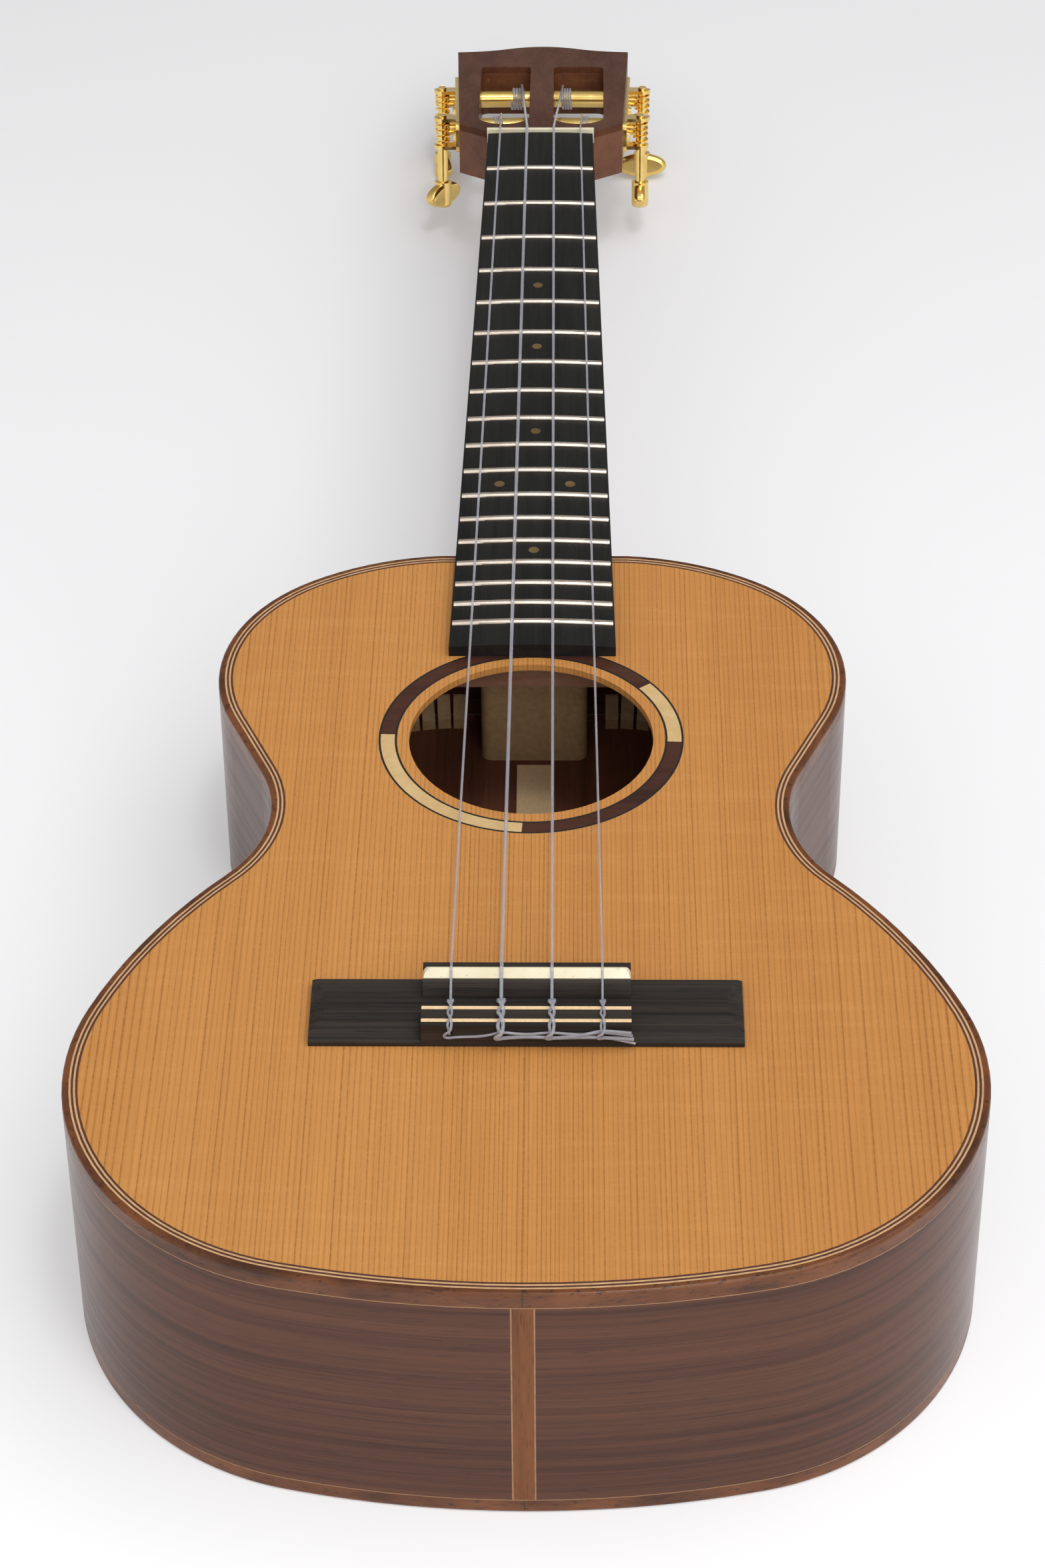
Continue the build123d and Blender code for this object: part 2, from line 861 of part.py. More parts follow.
def roller(index):
    """String roller: shaft end for the gear, journal through the plate, barrel across the slot"""
    sign, u = roller_spot(index)
    with BuildPart() as piece:
        with BuildSketch(on_side(sign, u, -0.3)):
            Circle(roller_radius)
        extrude(amount=0.3 - roller_reach)
        with BuildSketch(on_side(sign, u, -0.3)):
            Circle(2.2)
        extrude(amount=0.3 + plate_thick + 0.3)
        with BuildSketch(on_side(sign, u, plate_thick + 0.3)):
            Circle(2.8)
        extrude(amount=gear_mid_w - gear_thick / 2 - plate_thick - 0.3)
        with BuildSketch(on_side(sign, u, gear_mid_w - gear_thick / 2)):
            Circle(1.5)
        extrude(amount=gear_thick)
    return piece.part


def gear(index):
    """Gear wheel and the screw that holds it on the roller"""
    sign, u = roller_spot(index)
    low = gear_mid_w - gear_thick / 2
    phase = 180.0 / gear_teeth
    with BuildPart() as piece:
        with BuildSketch(on_side(sign, u, low)):
            Circle(gear_root)
            with PolarLocations(0, gear_teeth, start_angle=180 * (sign > 0) + phase):
                Polygon(
                    (gear_root - 0.4, -tooth_root_width / 2),
                    (gear_tip, -tooth_tip_width / 2),
                    (gear_tip, tooth_tip_width / 2),
                    (gear_root - 0.4, tooth_root_width / 2),
                    align=None,
                )
            Circle(1.5, mode=Mode.SUBTRACT)
        extrude(amount=gear_thick)
    with BuildPart() as screw:
        with BuildSketch(on_side(sign, u, low + gear_thick)):
            Circle(2.3)
        extrude(amount=1.3)
        fillet(screw.faces().sort_by(Axis(side_plane(sign).origin, side_plane(sign).z_dir))[-1].edges(), 0.5)
        with BuildSketch(on_side(sign, u, low + gear_thick + 1.3)):
            Rectangle(5, 0.6)
        extrude(amount=-0.6, mode=Mode.SUBTRACT)
    return Compound([*piece.part.solids(), *screw.part.solids()])


def worm_shape():
    """Worm and shaft about the Z axis, with the gear's middle plane at z = 0"""
    path = Helix(pitch=thread_pitch, height=2 * worm_half, radius=worm_root, center=(0, 0, -worm_half))
    with BuildPart() as thread:
        with BuildSketch(Plane(origin=path @ 0, x_dir=(1, 0, 0), z_dir=path % 0)):
            Polygon(
                (-0.25, -thread_root_width / 2),
                (worm_crest - worm_root, -thread_crest_width / 2),
                (worm_crest - worm_root, thread_crest_width / 2),
                (-0.25, thread_root_width / 2),
                align=None,
            )
        sweep(path=path, is_frenet=True)
        with BuildSketch(Plane.XY.offset(-worm_half)):
            Circle(worm_crest + 1)
        extrude(amount=2 * worm_half, mode=Mode.INTERSECT)
    with BuildPart() as piece:
        with BuildSketch(Plane.XY.offset(-lug_inner + bearing_gap)):
            Circle(worm_root)
        extrude(amount=2 * (lug_inner - bearing_gap))
        add(thread.part)
        with BuildSketch(Plane.XY.offset(lug_inner - bearing_gap)):
            Circle(shaft_radius)
        extrude(amount=2.0)
        with BuildSketch(Plane.XY.offset(-lug_inner + bearing_gap)):
            Circle(shaft_radius)
        extrude(amount=-1.6)
        with BuildSketch(Plane.XY.offset(-lug_outer - 0.2)):
            Circle(1.75)
        extrude(amount=button_top_v + lug_outer + 0.2)
    return piece.part


def worm(shape, index):
    sign, u = roller_spot(index)
    plane = worm_plane(sign, u)
    with BuildPart() as piece:
        add(plane.location * shape)
    return piece.part


def button(index):
    """Oval metal button on a round hub, fixed on the end of the worm shaft"""
    sign, u = roller_spot(index)
    base = worm_plane(sign, u)
    turn = radians(button_angles[index])
    wings = base.y_dir * cos(turn) + base.x_dir * sin(turn)
    plane = Plane(origin=base.origin, x_dir=wings, z_dir=base.z_dir)
    middle = (button_top_v + button_low_v) / 2
    height = button_top_v - button_low_v
    face = Plane(origin=plane.from_local_coords((0, 0, middle)), x_dir=plane.x_dir, z_dir=-plane.y_dir)
    with BuildPart() as hub:
        with BuildSketch(plane.offset(button_top_v)):
            Circle(2.9)
        extrude(amount=-height)
        fillet(hub.edges().group_by(Axis(plane.origin, plane.z_dir))[0], radius=1.2)
    with BuildPart() as piece:
        with BuildSketch(face):
            Ellipse(button_half, height / 2 - 0.4)
        extrude(amount=2.1, both=True)
        fillet(piece.edges(), radius=1.6)
        add(hub.part)
    return piece.part


def build():
    os.makedirs("parts", exist_ok=True)
    wall_part = side_wall()
    pieces = {
        "soundboard": soundboard(),
        "rosette_lines": rosette_lines(),
        "rosette_light": rosette_sectors(light_sectors),
        "rosette_dark": rosette_sectors(dark_sectors),
        "purfling_light": purfling(0),
        "purfling_dark": purfling(1),
        "top_binding": top_binding(),
        "back_binding": back_binding(),
        "side_left": side(wall_part, -1),
        "side_right": side(wall_part, 1),
        "end_graft": end_graft(wall_part),
        "side_lines": side_lines(wall_part),
        "back_plate": back_plate(),
        "linings": linings(),
        "neck_block": block(joint_y - wall - 9, neck_block_width, 18),
        "tail_block": block(tail_y + wall + 6, tail_block_width, 14),
        "top_braces": top_braces(),
        "bridge_patch": bridge_patch(),
        "back_braces": back_braces(),
        "back_strip": back_strip(),
        "neck": neck(),
        "head_veneer": head_veneer(),
        "heel_cap": heel_cap(),
        "fretboard": fretboard(),
        "fret_dots": fret_dots(),
        "frets": frets(),
        "nut": nut(),
        "bridge": bridge(),
        "bridge_inlays": bridge_inlays(),
        "saddle": saddle(),
        "tuner_plate_left": tuner_plate(-1),
        "tuner_plate_right": tuner_plate(1),
        "plate_screws": plate_screws(),
    }
    shape = worm_shape()
    for index, name in enumerate(string_names):
        pieces[f"string_{name}"] = string(index)
        pieces[f"winding_{name}"] = winding(index)
        pieces[f"roller_{name}"] = roller(index)
        pieces[f"gear_{name}"] = gear(index)
        pieces[f"worm_{name}"] = worm(shape, index)
        pieces[f"button_{name}"] = button(index)
    for name, part in pieces.items():
        save(part, name)


build()
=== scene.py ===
"""Looks of the tenor ukulele: materials for every CAD piece, the strings' ties on the bridge, the kerfed
linings, and a pale studio floor with soft light. Lengths are metres, in the same frame as the CAD model.
"""
from math import cos, pi, radians, sin

import bmesh
import bpy
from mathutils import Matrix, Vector
from mathutils.bvhtree import BVHTree


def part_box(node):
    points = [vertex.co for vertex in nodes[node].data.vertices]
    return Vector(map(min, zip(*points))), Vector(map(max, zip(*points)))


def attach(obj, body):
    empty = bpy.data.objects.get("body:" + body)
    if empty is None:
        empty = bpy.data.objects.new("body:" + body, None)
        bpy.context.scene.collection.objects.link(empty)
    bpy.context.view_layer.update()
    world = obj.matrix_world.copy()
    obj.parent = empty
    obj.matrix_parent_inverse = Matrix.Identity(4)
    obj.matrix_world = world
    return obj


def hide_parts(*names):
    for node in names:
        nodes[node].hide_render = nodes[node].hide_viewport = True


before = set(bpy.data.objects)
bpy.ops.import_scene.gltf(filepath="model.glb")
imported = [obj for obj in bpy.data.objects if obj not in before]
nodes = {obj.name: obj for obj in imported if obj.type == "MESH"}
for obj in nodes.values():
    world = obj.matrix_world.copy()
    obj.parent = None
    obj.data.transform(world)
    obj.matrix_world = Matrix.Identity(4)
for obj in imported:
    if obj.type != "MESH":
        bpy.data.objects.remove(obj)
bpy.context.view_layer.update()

mm = 0.001
string_names = ["g", "c", "e", "a"]

# Camera ------------------------------------------------------------------------------------------

camera_place = (0.01202, -0.94972, 0.76909)  # metres
camera_turn = (49.328, 0.418, 0.631)  # degrees about X, Y and Z
camera_lens = 92.38  # mm
sensor_height = 36.0  # mm
near_clip = 0.05  # metres


def make_camera():
    """Camera above the tail, looking along the neck"""
    data = bpy.data.cameras.new("camera")
    data.sensor_fit = "VERTICAL"
    data.sensor_height = sensor_height
    data.lens = camera_lens
    data.clip_start = near_clip
    camera = bpy.data.objects.new("camera", data)
    camera.location = camera_place
    camera.rotation_euler = [radians(angle) for angle in camera_turn]
    bpy.context.scene.collection.objects.link(camera)
    bpy.context.scene.camera = camera


# Material graphs ---------------------------------------------------------------------------------


class Graph:
    """Shorthand for one material's nodes"""

    def __init__(self, name, **constants):
        self.material = bpy.data.materials.new(name)
        self.material.use_nodes = True
        self.tree = self.material.node_tree
        self.shader = self.tree.nodes["Principled BSDF"]
        for socket, value in constants.items():
            self.shader.inputs[socket.replace("_", " ")].default_value = value
        self.place = self.add("ShaderNodeTexCoord", output="Object")

    def add(self, kind, inputs=(), output=0, **settings):
        """One node with its settings and inputs; returns the socket that it gives"""
        node = self.tree.nodes.new(kind)
        for key, value in settings.items():
            setattr(node, key, value)
        for key, value in dict(inputs).items():
            self.plug(node.inputs[key], value)
        return node.outputs[output]

    def plug(self, socket, value):
        if isinstance(value, bpy.types.NodeSocket):
            self.tree.links.new(value, socket)
        elif isinstance(value, tuple) and socket.type == "RGBA":
            socket.default_value = (*value[:3], 1.0)
        else:
            socket.default_value = value

    def math(self, operation, first, second=0.0, third=0.0):
        inputs = {0: first, 1: second, 2: third}
        return self.add("ShaderNodeMath", inputs, operation=operation)

    def stretched(self, scale, shift=0.0):
        """The place, times a number per metre on each axis"""
        inputs = {"Vector": self.place, "Scale": scale, "Location": (shift, shift * 1.7, shift * 2.3)}
        return self.add("ShaderNodeMapping", inputs)

    def noise(self, scale, detail=4.0, roughness=0.55, shift=0.0, distortion=0.0):
        inputs = {
            "Vector": self.stretched(scale, shift),
            "Scale": 1.0,
            "Detail": detail,
            "Roughness": roughness,
            "Distortion": distortion,
        }
        return self.add("ShaderNodeTexNoise", inputs)

    def span(self, value, low, high, to_low=0.0, to_high=1.0):
        """Value from low..high to to_low..to_high, held at the ends"""
        inputs = {"Value": value, "From Min": low, "From Max": high, "To Min": to_low, "To Max": to_high}
        return self.add("ShaderNodeMapRange", inputs)

    def ramp(self, value, *stops):
        node = self.tree.nodes.new("ShaderNodeValToRGB")
        self.plug(node.inputs[0], value)
        elements = node.color_ramp.elements
        while len(elements) < len(stops):
            elements.new(0.5)
        for element, (position, colour) in zip(elements, stops):
            element.position = position
            element.color = (*colour, 1.0) if isinstance(colour, tuple) else (colour, colour, colour, 1.0)
        return node.outputs[0]

    def mix(self, share, first, second, blend="MIX"):
        node = self.tree.nodes.new("ShaderNodeMix")
        node.data_type = "RGBA"
        node.blend_type = blend
        self.plug(node.inputs[0], share)
        self.plug(node.inputs[6], first)
        self.plug(node.inputs[7], second)
        return node.outputs[2]

    def axes(self):
        node = self.tree.nodes.new("ShaderNodeSeparateXYZ")
        self.tree.links.new(self.place, node.inputs[0])
        return node.outputs

    def finish(self, colour, roughness, height, depth):
        """Colour, roughness and relief into the shader; depth is the relief in metres"""
        self.plug(self.shader.inputs["Base Color"], colour)
        self.plug(self.shader.inputs["Roughness"], roughness)
        bump = self.add("ShaderNodeBump", {"Height": height, "Distance": depth, "Strength": 1.0})
        self.plug(self.shader.inputs["Normal"], bump)
        return self.material


# Woods -------------------------------------------------------------------------------------------


def cedar():
    """Straight-grained softwood, book-matched about the centre line, rings closer near the centre"""
    g = Graph("cedar", Coat_Weight=0.06, Coat_Roughness=0.3, IOR=1.45, Specular_IOR_Level=0.3)
    x = g.axes()["X"]
    wobble = g.math("MULTIPLY_ADD", g.noise((7, 2.2, 0), 2), 0.0030, -0.0015)
    out = g.math("ABSOLUTE", g.math("ADD", x, wobble))
    uneven = g.math("MULTIPLY", g.noise((28, 0.5, 0), 3, shift=4.0), 7.0)
    closer = g.math("MULTIPLY", g.math("MULTIPLY", out, out), -1500.0)
    ring = g.math("ADD", g.math("MULTIPLY_ADD", out, 860.0, closer), uneven)
    across = g.math("FRACT", ring)
    strength = g.add("ShaderNodeTexWhiteNoise", {"W": g.math("FLOOR", ring)}, noise_dimensions="1D")
    line = g.ramp(across, (0.0, 0.10), (0.45, 0.04), (0.72, 0.35), (0.84, 1.0), (0.93, 0.55), (1.0, 0.10))
    beads = g.span(g.noise((700, 900, 0), 2), 0.3, 0.7, 0.55, 1.25)
    line = g.math("MULTIPLY", line, g.math("MULTIPLY", g.span(strength, 0, 1, 0.38, 0.95), beads))
    pale, dark = (0.600, 0.275, 0.076), (0.285, 0.105, 0.021)
    tone = g.noise((16, 0.7, 0), 4, shift=9.0)
    base = g.mix(g.span(tone, 0.3, 0.7), pale, (0.512, 0.215, 0.054))
    silk = g.span(g.noise((30, 260, 0), 3, shift=2.0), 0.50, 0.72, 0.0, 0.20)
    base = g.mix(silk, base, (0.67, 0.34, 0.105))
    fibre = g.span(g.noise((2600, 30, 30), 2, shift=1.0), 0.35, 0.65, 0.94, 1.06)
    base = g.mix(1.0, base, fibre, "MULTIPLY")
    colour = g.mix(line, base, dark)
    rough = g.span(tone, 0.3, 0.7, 0.40, 0.48)
    relief = g.math("SUBTRACT", g.math("MULTIPLY", fibre, 0.4), line)
    return g.finish(colour, rough, relief, 0.00003)


def streaked(
    name, along, pale, dark, rough=(0.3, 0.42), pores=0.5, cross=170.0, coat=0.08, band=0.5, shine=0.25
):
    """Hardwood with streaks along "x", "y", "z" or "plan" (round the body), and fine dark pores"""
    g = Graph(name, Coat_Weight=coat, Coat_Roughness=0.12, IOR=1.45, Specular_IOR_Level=shine)
    slow, fine, dash = {
        "x": ((3, cross, cross), (12, 5 * cross, 5 * cross), (90, 2200, 2200)),
        "y": ((cross, 3, cross), (5 * cross, 12, 5 * cross), (2200, 90, 2200)),
        "z": ((cross, cross, 6), (5 * cross, 5 * cross, 20), (2200, 2200, 110)),
        "plan": ((4, 4, cross), (16, 16, 5 * cross), (110, 110, 2400)),
    }[along]
    wide = g.noise(tuple(value * 0.35 for value in slow), 3, shift=3.0, distortion=0.3)
    streak = g.noise(slow, 6, 0.62, shift=1.0, distortion=0.4)
    thin = g.noise(fine, 3, 0.6, shift=5.0)
    share = g.math("ADD", g.math("MULTIPLY", wide, band), g.math("MULTIPLY", streak, 1.0 - band))
    share = g.math("MULTIPLY_ADD", thin, 0.28, share)
    base = g.ramp(share, (0.40, pale), (0.62, tuple((p + d) / 2 for p, d in zip(pale, dark))), (0.78, dark))
    pore = g.span(g.noise(dash, 2, 0.5, shift=7.0), 0.60, 0.70)
    colour = g.mix(g.math("MULTIPLY", pore, pores), base, tuple(value * 0.25 for value in dark))
    return g.finish(colour, g.span(share, 0.4, 0.8, *rough), g.math("MULTIPLY", pore, -1.0), 0.00004)


def binding_wood():
    """Reddish brown with short dark flecks; the two halves meet in a fine seam on the centre line"""
    g = Graph("binding_wood", Coat_Weight=0.15, Coat_Roughness=0.12, IOR=1.45, Specular_IOR_Level=0.3)
    x = g.axes()["X"]
    tone = g.noise((45, 45, 160), 4, shift=2.0)
    pale, middle, dark = (0.180, 0.060, 0.018), (0.118, 0.038, 0.012), (0.054, 0.017, 0.006)
    base = g.ramp(tone, (0.36, pale), (0.55, middle), (0.70, dark))
    fleck = g.span(g.noise((420, 420, 1500), 3, 0.6, shift=6.0), 0.56, 0.66)
    colour = g.mix(g.math("MULTIPLY", fleck, 0.7), base, (0.035, 0.012, 0.006))
    seam = g.span(g.math("ABSOLUTE", x), 0.00008, 0.00022, 0.8, 0.0)
    colour = g.mix(seam, colour, (0.03, 0.012, 0.006))
    return g.finish(colour, g.span(tone, 0.3, 0.7, 0.28, 0.4), g.math("MULTIPLY", fleck, -1.0), 0.00004)


def plain_wood(name, pale, dark, scale=(300, 20, 300), rough=0.5):
    """Thin line or hidden wood with fine fibres"""
    g = Graph(name, IOR=1.45, Coat_Weight=0.08, Coat_Roughness=0.3)
    fibre = g.noise(scale, 4, 0.6, shift=2.0)
    speck = g.noise((900, 900, 900), 2, shift=5.0)
    share = g.math("MULTIPLY_ADD", speck, 0.35, g.math("MULTIPLY", fibre, 0.75))
    colour = g.ramp(share, (0.35, pale), (0.72, dark))
    return g.finish(colour, g.span(fibre, 0.3, 0.7, rough - 0.05, rough + 0.08), share, 0.00003)


# Other materials ---------------------------------------------------------------------------------


def metal(name, colour, worn, rough=(0.10, 0.22), lines=(300, 300, 300)):
    """Polished plating with faint handling marks"""
    g = Graph(name, Metallic=1.0)
    cloud = g.noise((120, 120, 120), 4, 0.6, shift=3.0)
    scratch = g.noise(lines, 3, 0.6, shift=8.0)
    shade = g.mix(g.span(cloud, 0.45, 0.75), colour, worn)
    roughness = g.math("MULTIPLY_ADD", g.span(scratch, 0.4, 0.7), rough[1] - rough[0], rough[0])
    return g.finish(shade, roughness, scratch, 0.000006)


def bone():
    """Polished bone with fine open pores"""
    g = Graph(
        "bone", Subsurface_Weight=0.12, Subsurface_Scale=0.002,
        IOR=1.5, Coat_Weight=0.2, Coat_Roughness=0.15,
    )
    cloud = g.noise((60, 60, 60), 4, shift=1.0)
    pore = g.span(g.noise((900, 900, 2600), 2, shift=5.0), 0.64, 0.72)
    base = g.ramp(cloud, (0.35, (0.80, 0.74, 0.55)), (0.65, (0.72, 0.64, 0.43)))
    colour = g.mix(g.math("MULTIPLY", pore, 0.45), base, (0.42, 0.33, 0.20))
    return g.finish(colour, g.span(cloud, 0.3, 0.7, 0.28, 0.40), g.math("MULTIPLY", pore, -1.0), 0.00003)


def clear_line():
    """Clear fluorocarbon string"""
    g = Graph("clear_line", Transmission_Weight=0.72, IOR=1.42)
    cloud = g.noise((400, 60, 400), 2, shift=2.0)
    colour = g.ramp(cloud, (0.3, (0.78, 0.79, 0.86)), (0.7, (0.68, 0.69, 0.77)))
    return g.finish(colour, g.span(cloud, 0.3, 0.7, 0.12, 0.22), cloud, 0.000004)


def paint(node, material):
    """Give a CAD node its material, in all of its material slots"""
    data = nodes[node].data
    if not data.materials:
        data.materials.append(material)
    for index in range(len(data.materials)):
        data.materials[index] = material


def paint_all():
    """Materials for every CAD node; returns the ones that the ties and the linings share"""
    red_brown, dark_brown = (0.138, 0.052, 0.027), (0.054, 0.020, 0.012)
    board_wood = streaked(
        "board_wood", "y", (0.019, 0.019, 0.018),
        (0.007, 0.007, 0.007), (0.42, 0.55), 0.4, coat=0.0, shine=0.2,
    )
    bridge_wood = streaked(
        "bridge_wood", "x", (0.058, 0.044, 0.035), (0.011, 0.010, 0.009),
        (0.38, 0.55), 0.5, 420.0, 0.0, 0.35, 0.2,
    )
    side_wood = streaked(
        "side_wood", "plan", red_brown, dark_brown, (0.26, 0.36), 0.35, 420.0, 0.35, 0.35, 0.1,
    )
    back_wood = streaked("back_wood", "y", (0.230, 0.085, 0.045), (0.095, 0.034, 0.020), (0.30, 0.40), 0.35)
    neck_wood = streaked(
        "neck_wood", "y", (0.175, 0.062, 0.024), (0.095, 0.031, 0.013),
        (0.34, 0.44), 0.35, cross=220.0, coat=0.2,
    )
    head_wood = streaked(
        "head_wood", "y", (0.125, 0.046, 0.022), (0.065, 0.022, 0.010),
        (0.40, 0.50), 0.35, cross=220.0, coat=0.0, shine=0.08,
    )
    binding = binding_wood()
    light_line = plain_wood("light_line", (0.66, 0.42, 0.22), (0.50, 0.28, 0.13))
    side_line = plain_wood("side_line", (0.38, 0.21, 0.10), (0.27, 0.14, 0.065))
    dark_line = plain_wood("dark_line", (0.115, 0.035, 0.014), (0.060, 0.018, 0.008))
    ring_line = plain_wood("ring_line", (0.012, 0.010, 0.008), (0.005, 0.004, 0.004))
    ring_light = plain_wood("ring_light", (0.66, 0.48, 0.235), (0.57, 0.37, 0.155), (160, 160, 160))
    ring_dark = streaked(
        "ring_dark", "x", (0.090, 0.031, 0.017), (0.034, 0.012, 0.008), (0.38, 0.48), 0.4, 120.0, 0.03,
    )
    inside = plain_wood("inside", (0.62, 0.42, 0.22), (0.50, 0.31, 0.15), (500, 25, 500), 0.6)
    brace_wood = plain_wood("brace_wood", (0.33, 0.17, 0.105), (0.22, 0.105, 0.062), (20, 500, 500), 0.5)
    strip = plain_wood("strip", (0.90, 0.67, 0.40), (0.78, 0.54, 0.29), (1800, 900, 900), 0.5)
    gold = metal("gold", (0.92, 0.66, 0.22), (0.80, 0.52, 0.15), (0.13, 0.24))
    wire = metal("wire", (0.84, 0.73, 0.62), (0.74, 0.62, 0.51), (0.20, 0.34), (60, 2500, 2500))
    dots = metal("dots", (0.42, 0.27, 0.12), (0.30, 0.18, 0.08), (0.35, 0.5))
    ivory = bone()
    line = clear_line()
    looks = {
        "soundboard": cedar(),
        "rosette_lines": ring_line,
        "rosette_light": ring_light,
        "rosette_dark": ring_dark,
        "purfling_light": light_line,
        "purfling_dark": dark_line,
        "side_lines": side_line,
        "top_binding": binding,
        "back_binding": binding,
        "end_graft": streaked(
            "graft_wood", "z", (0.230, 0.078, 0.022), (0.105, 0.033, 0.011), (0.3, 0.4), 0.6,
        ),
        "side_left": side_wood,
        "side_right": side_wood,
        "back_plate": back_wood,
        "heel_cap": back_wood,
        "linings": inside,
        "neck_block": inside,
        "tail_block": inside,
        "top_braces": brace_wood,
        "back_braces": inside,
        "bridge_patch": side_wood,
        "back_strip": strip,
        "neck": neck_wood,
        "head_veneer": head_wood,
        "fretboard": board_wood,
        "fret_dots": dots,
        "frets": wire,
        "nut": ivory,
        "saddle": ivory,
        "bridge": bridge_wood,
        "bridge_inlays": strip,
        "tuner_plate_left": gold,
        "tuner_plate_right": gold,
        "plate_screws": gold,
    }
    for name in string_names:
        for piece in ("roller", "gear", "worm", "button"):
            looks[f"{piece}_{name}"] = gold
        looks[f"string_{name}"] = line
        looks[f"winding_{name}"] = line
    for node, material in looks.items():
        paint(node, material)
    return line, inside


# Directions and spans read from the frame --------------------------------------------------------


def plate_normal(node, sense):
    """Normal of a plate's largest face that looks up (sense 1) or down (sense -1)"""
    faces = [face for face in nodes[node].data.polygons if face.normal.z * sense > 0.9]
    return max(faces, key=lambda face: face.area).normal.copy()


up = plate_normal("soundboard", 1)
ahead = Vector((0.0, up.z, -up.y))  # along the soundboard, from the tail towards the head


def reach(node, direction):
    """Lowest and highest places of a node along a direction"""
    places = [vertex.co.dot(direction) for vertex in nodes[node].data.vertices]
    return min(places), max(places)


# Strings' ties on the bridge ---------------------------------------------------------------------


def smooth_cord(name, points, radius):
    """Round cord along a smooth line through the neighbourhood of its points"""
    data = bpy.data.curves.new(name, "CURVE")
    data.dimensions = "3D"
    data.bevel_depth = radius
    data.bevel_resolution = 4
    data.use_fill_caps = True
    data.resolution_u = 10
    spline = data.splines.new("NURBS")
    spline.points.add(len(points) - 1)
    for spot, point in zip(spline.points, points):
        spot.co = (*point, 1.0)
    spline.order_u = 4
    spline.use_endpoint_u = True
    piece = bpy.data.objects.new(name, data)
    bpy.context.scene.collection.objects.link(piece)
    return piece


def tie_points(radius, lift, tail):
    """Route of one tie from the rear of its hole, in mm: right, ahead of the rear face, over the tie block.
    It climbs the rear face, twists over the block, hooks the string in front and comes back as the tail."""
    side = 1.1 * radius + 0.12  # half the distance between the two strands
    low, high = radius + 0.03, 3 * radius + 0.02  # the strand on the block, and the one that crosses it
    beside = radius + 0.15  # where the strands leave the block's edges
    front = 8.6  # the block's front edge
    return [
        (0, 0.5, -2.6),
        (0, 0.1, -2.6),
        (0, -0.7 * lift, -2.65),
        (-0.1, -lift, -2.2),
        (-0.2, -lift, -1.2),
        (-side, -0.8 * lift, 0.1),
        (-side, 0.2, beside),
        (-0.4 * side, 1.3, low),
        (0.4 * side, 2.6, low),
        (1.3 * side, 4.3, low),
        (0.7 * side, 5.9, high),
        (-0.5 * side, 7.2, high),
        (-1.1 * side, front - 0.1, beside + 0.5 * radius),
        (-1.2 * side, front + 0.9, 0.1),
        (-1.2 * side - 0.1, front + 1.5, -1.5),
        (-0.2, front + 1.9, -2.5 - 2 * radius),
        (1.1 * side, front + 2.0, -2.2 - radius),
        (1.5 * side, front + 1.5, -0.9),
        (1.2 * side, front + 0.8, 0.5),
        (1.0 * side, front - 0.5, beside + 0.3 * radius),
        (0.3 * side, 6.9, low),
        (-0.5 * side, 5.7, low),
        (-1.3 * side, 4.3, low),
        (-0.6 * side, 2.9, high),
        (0.5 * side, 1.6, high),
        (1.1 * side, 0.4, beside + 0.5 * radius),
        (1.0 * side, -lift - 0.5 * radius, 0.1),
        (0.2, -lift - 2.1 * radius, -1.1),
        (-1.2, -lift - 1.8 * radius, -1.9),
        (-1.5, -0.8 * lift - 0.4, -3.0),
        (-0.7, -0.5 * lift - 0.3, -3.7),
        (0.4, -radius - 0.2, -3.6),
        *tail,
    ]


string_radii = [0.33, 0.47, 0.40, 0.30]  # mm
rear_gap = 0.15  # mm, between the g string's tie and the bridge's rear face
tail_gap = 0.85  # mm, the same for the others, which pass behind the loose ends
end_reach = 1.0 * mm  # the CAD strings end within this of the rear face
tails = {  # right of the bridge's middle, ahead of the rear face, over the tie block, in mm
    "g": [
        (-16.0, -0.45, -3.3), (-12.0, -0.6, -3.2), (-8.5, -0.5, -2.6), (-6.3, -0.45, -1.6),
        (-3.5, -0.6, -2.0), (0.0, -0.7, -2.3), (3.5, -0.6, -2.0), (6.3, -0.45, -1.7),
        (10.0, -0.6, -2.2), (15.0, -0.7, -2.3), (18.9, -0.45, -1.6), (22.0, -0.8, -1.9),
        (26.3, -1.2, -2.2),
    ],
    "c": [
        (-4.0, -0.6, -3.4), (-1.0, -0.7, -3.1), (2.5, -0.7, -3.0), (6.3, -0.6, -3.6), (10.0, -0.9, -3.1),
        (15.0, -0.8, -3.0), (18.9, -0.6, -3.4), (22.5, -0.9, -3.2), (26.6, -1.3, -3.3),
    ],
    "e": [
        (8.5, -0.6, -3.2), (12.0, -1.0, -2.6), (15.5, -0.9, -1.9), (18.9, -0.5, -0.9), (22.0, -0.8, -1.3),
        (26.0, -1.1, -1.4),
    ],
    "a": [(20.6, -0.6, -3.6), (22.5, -0.9, -3.8), (24.5, -1.2, -4.1), (27.0, -1.5, -4.5)],
}


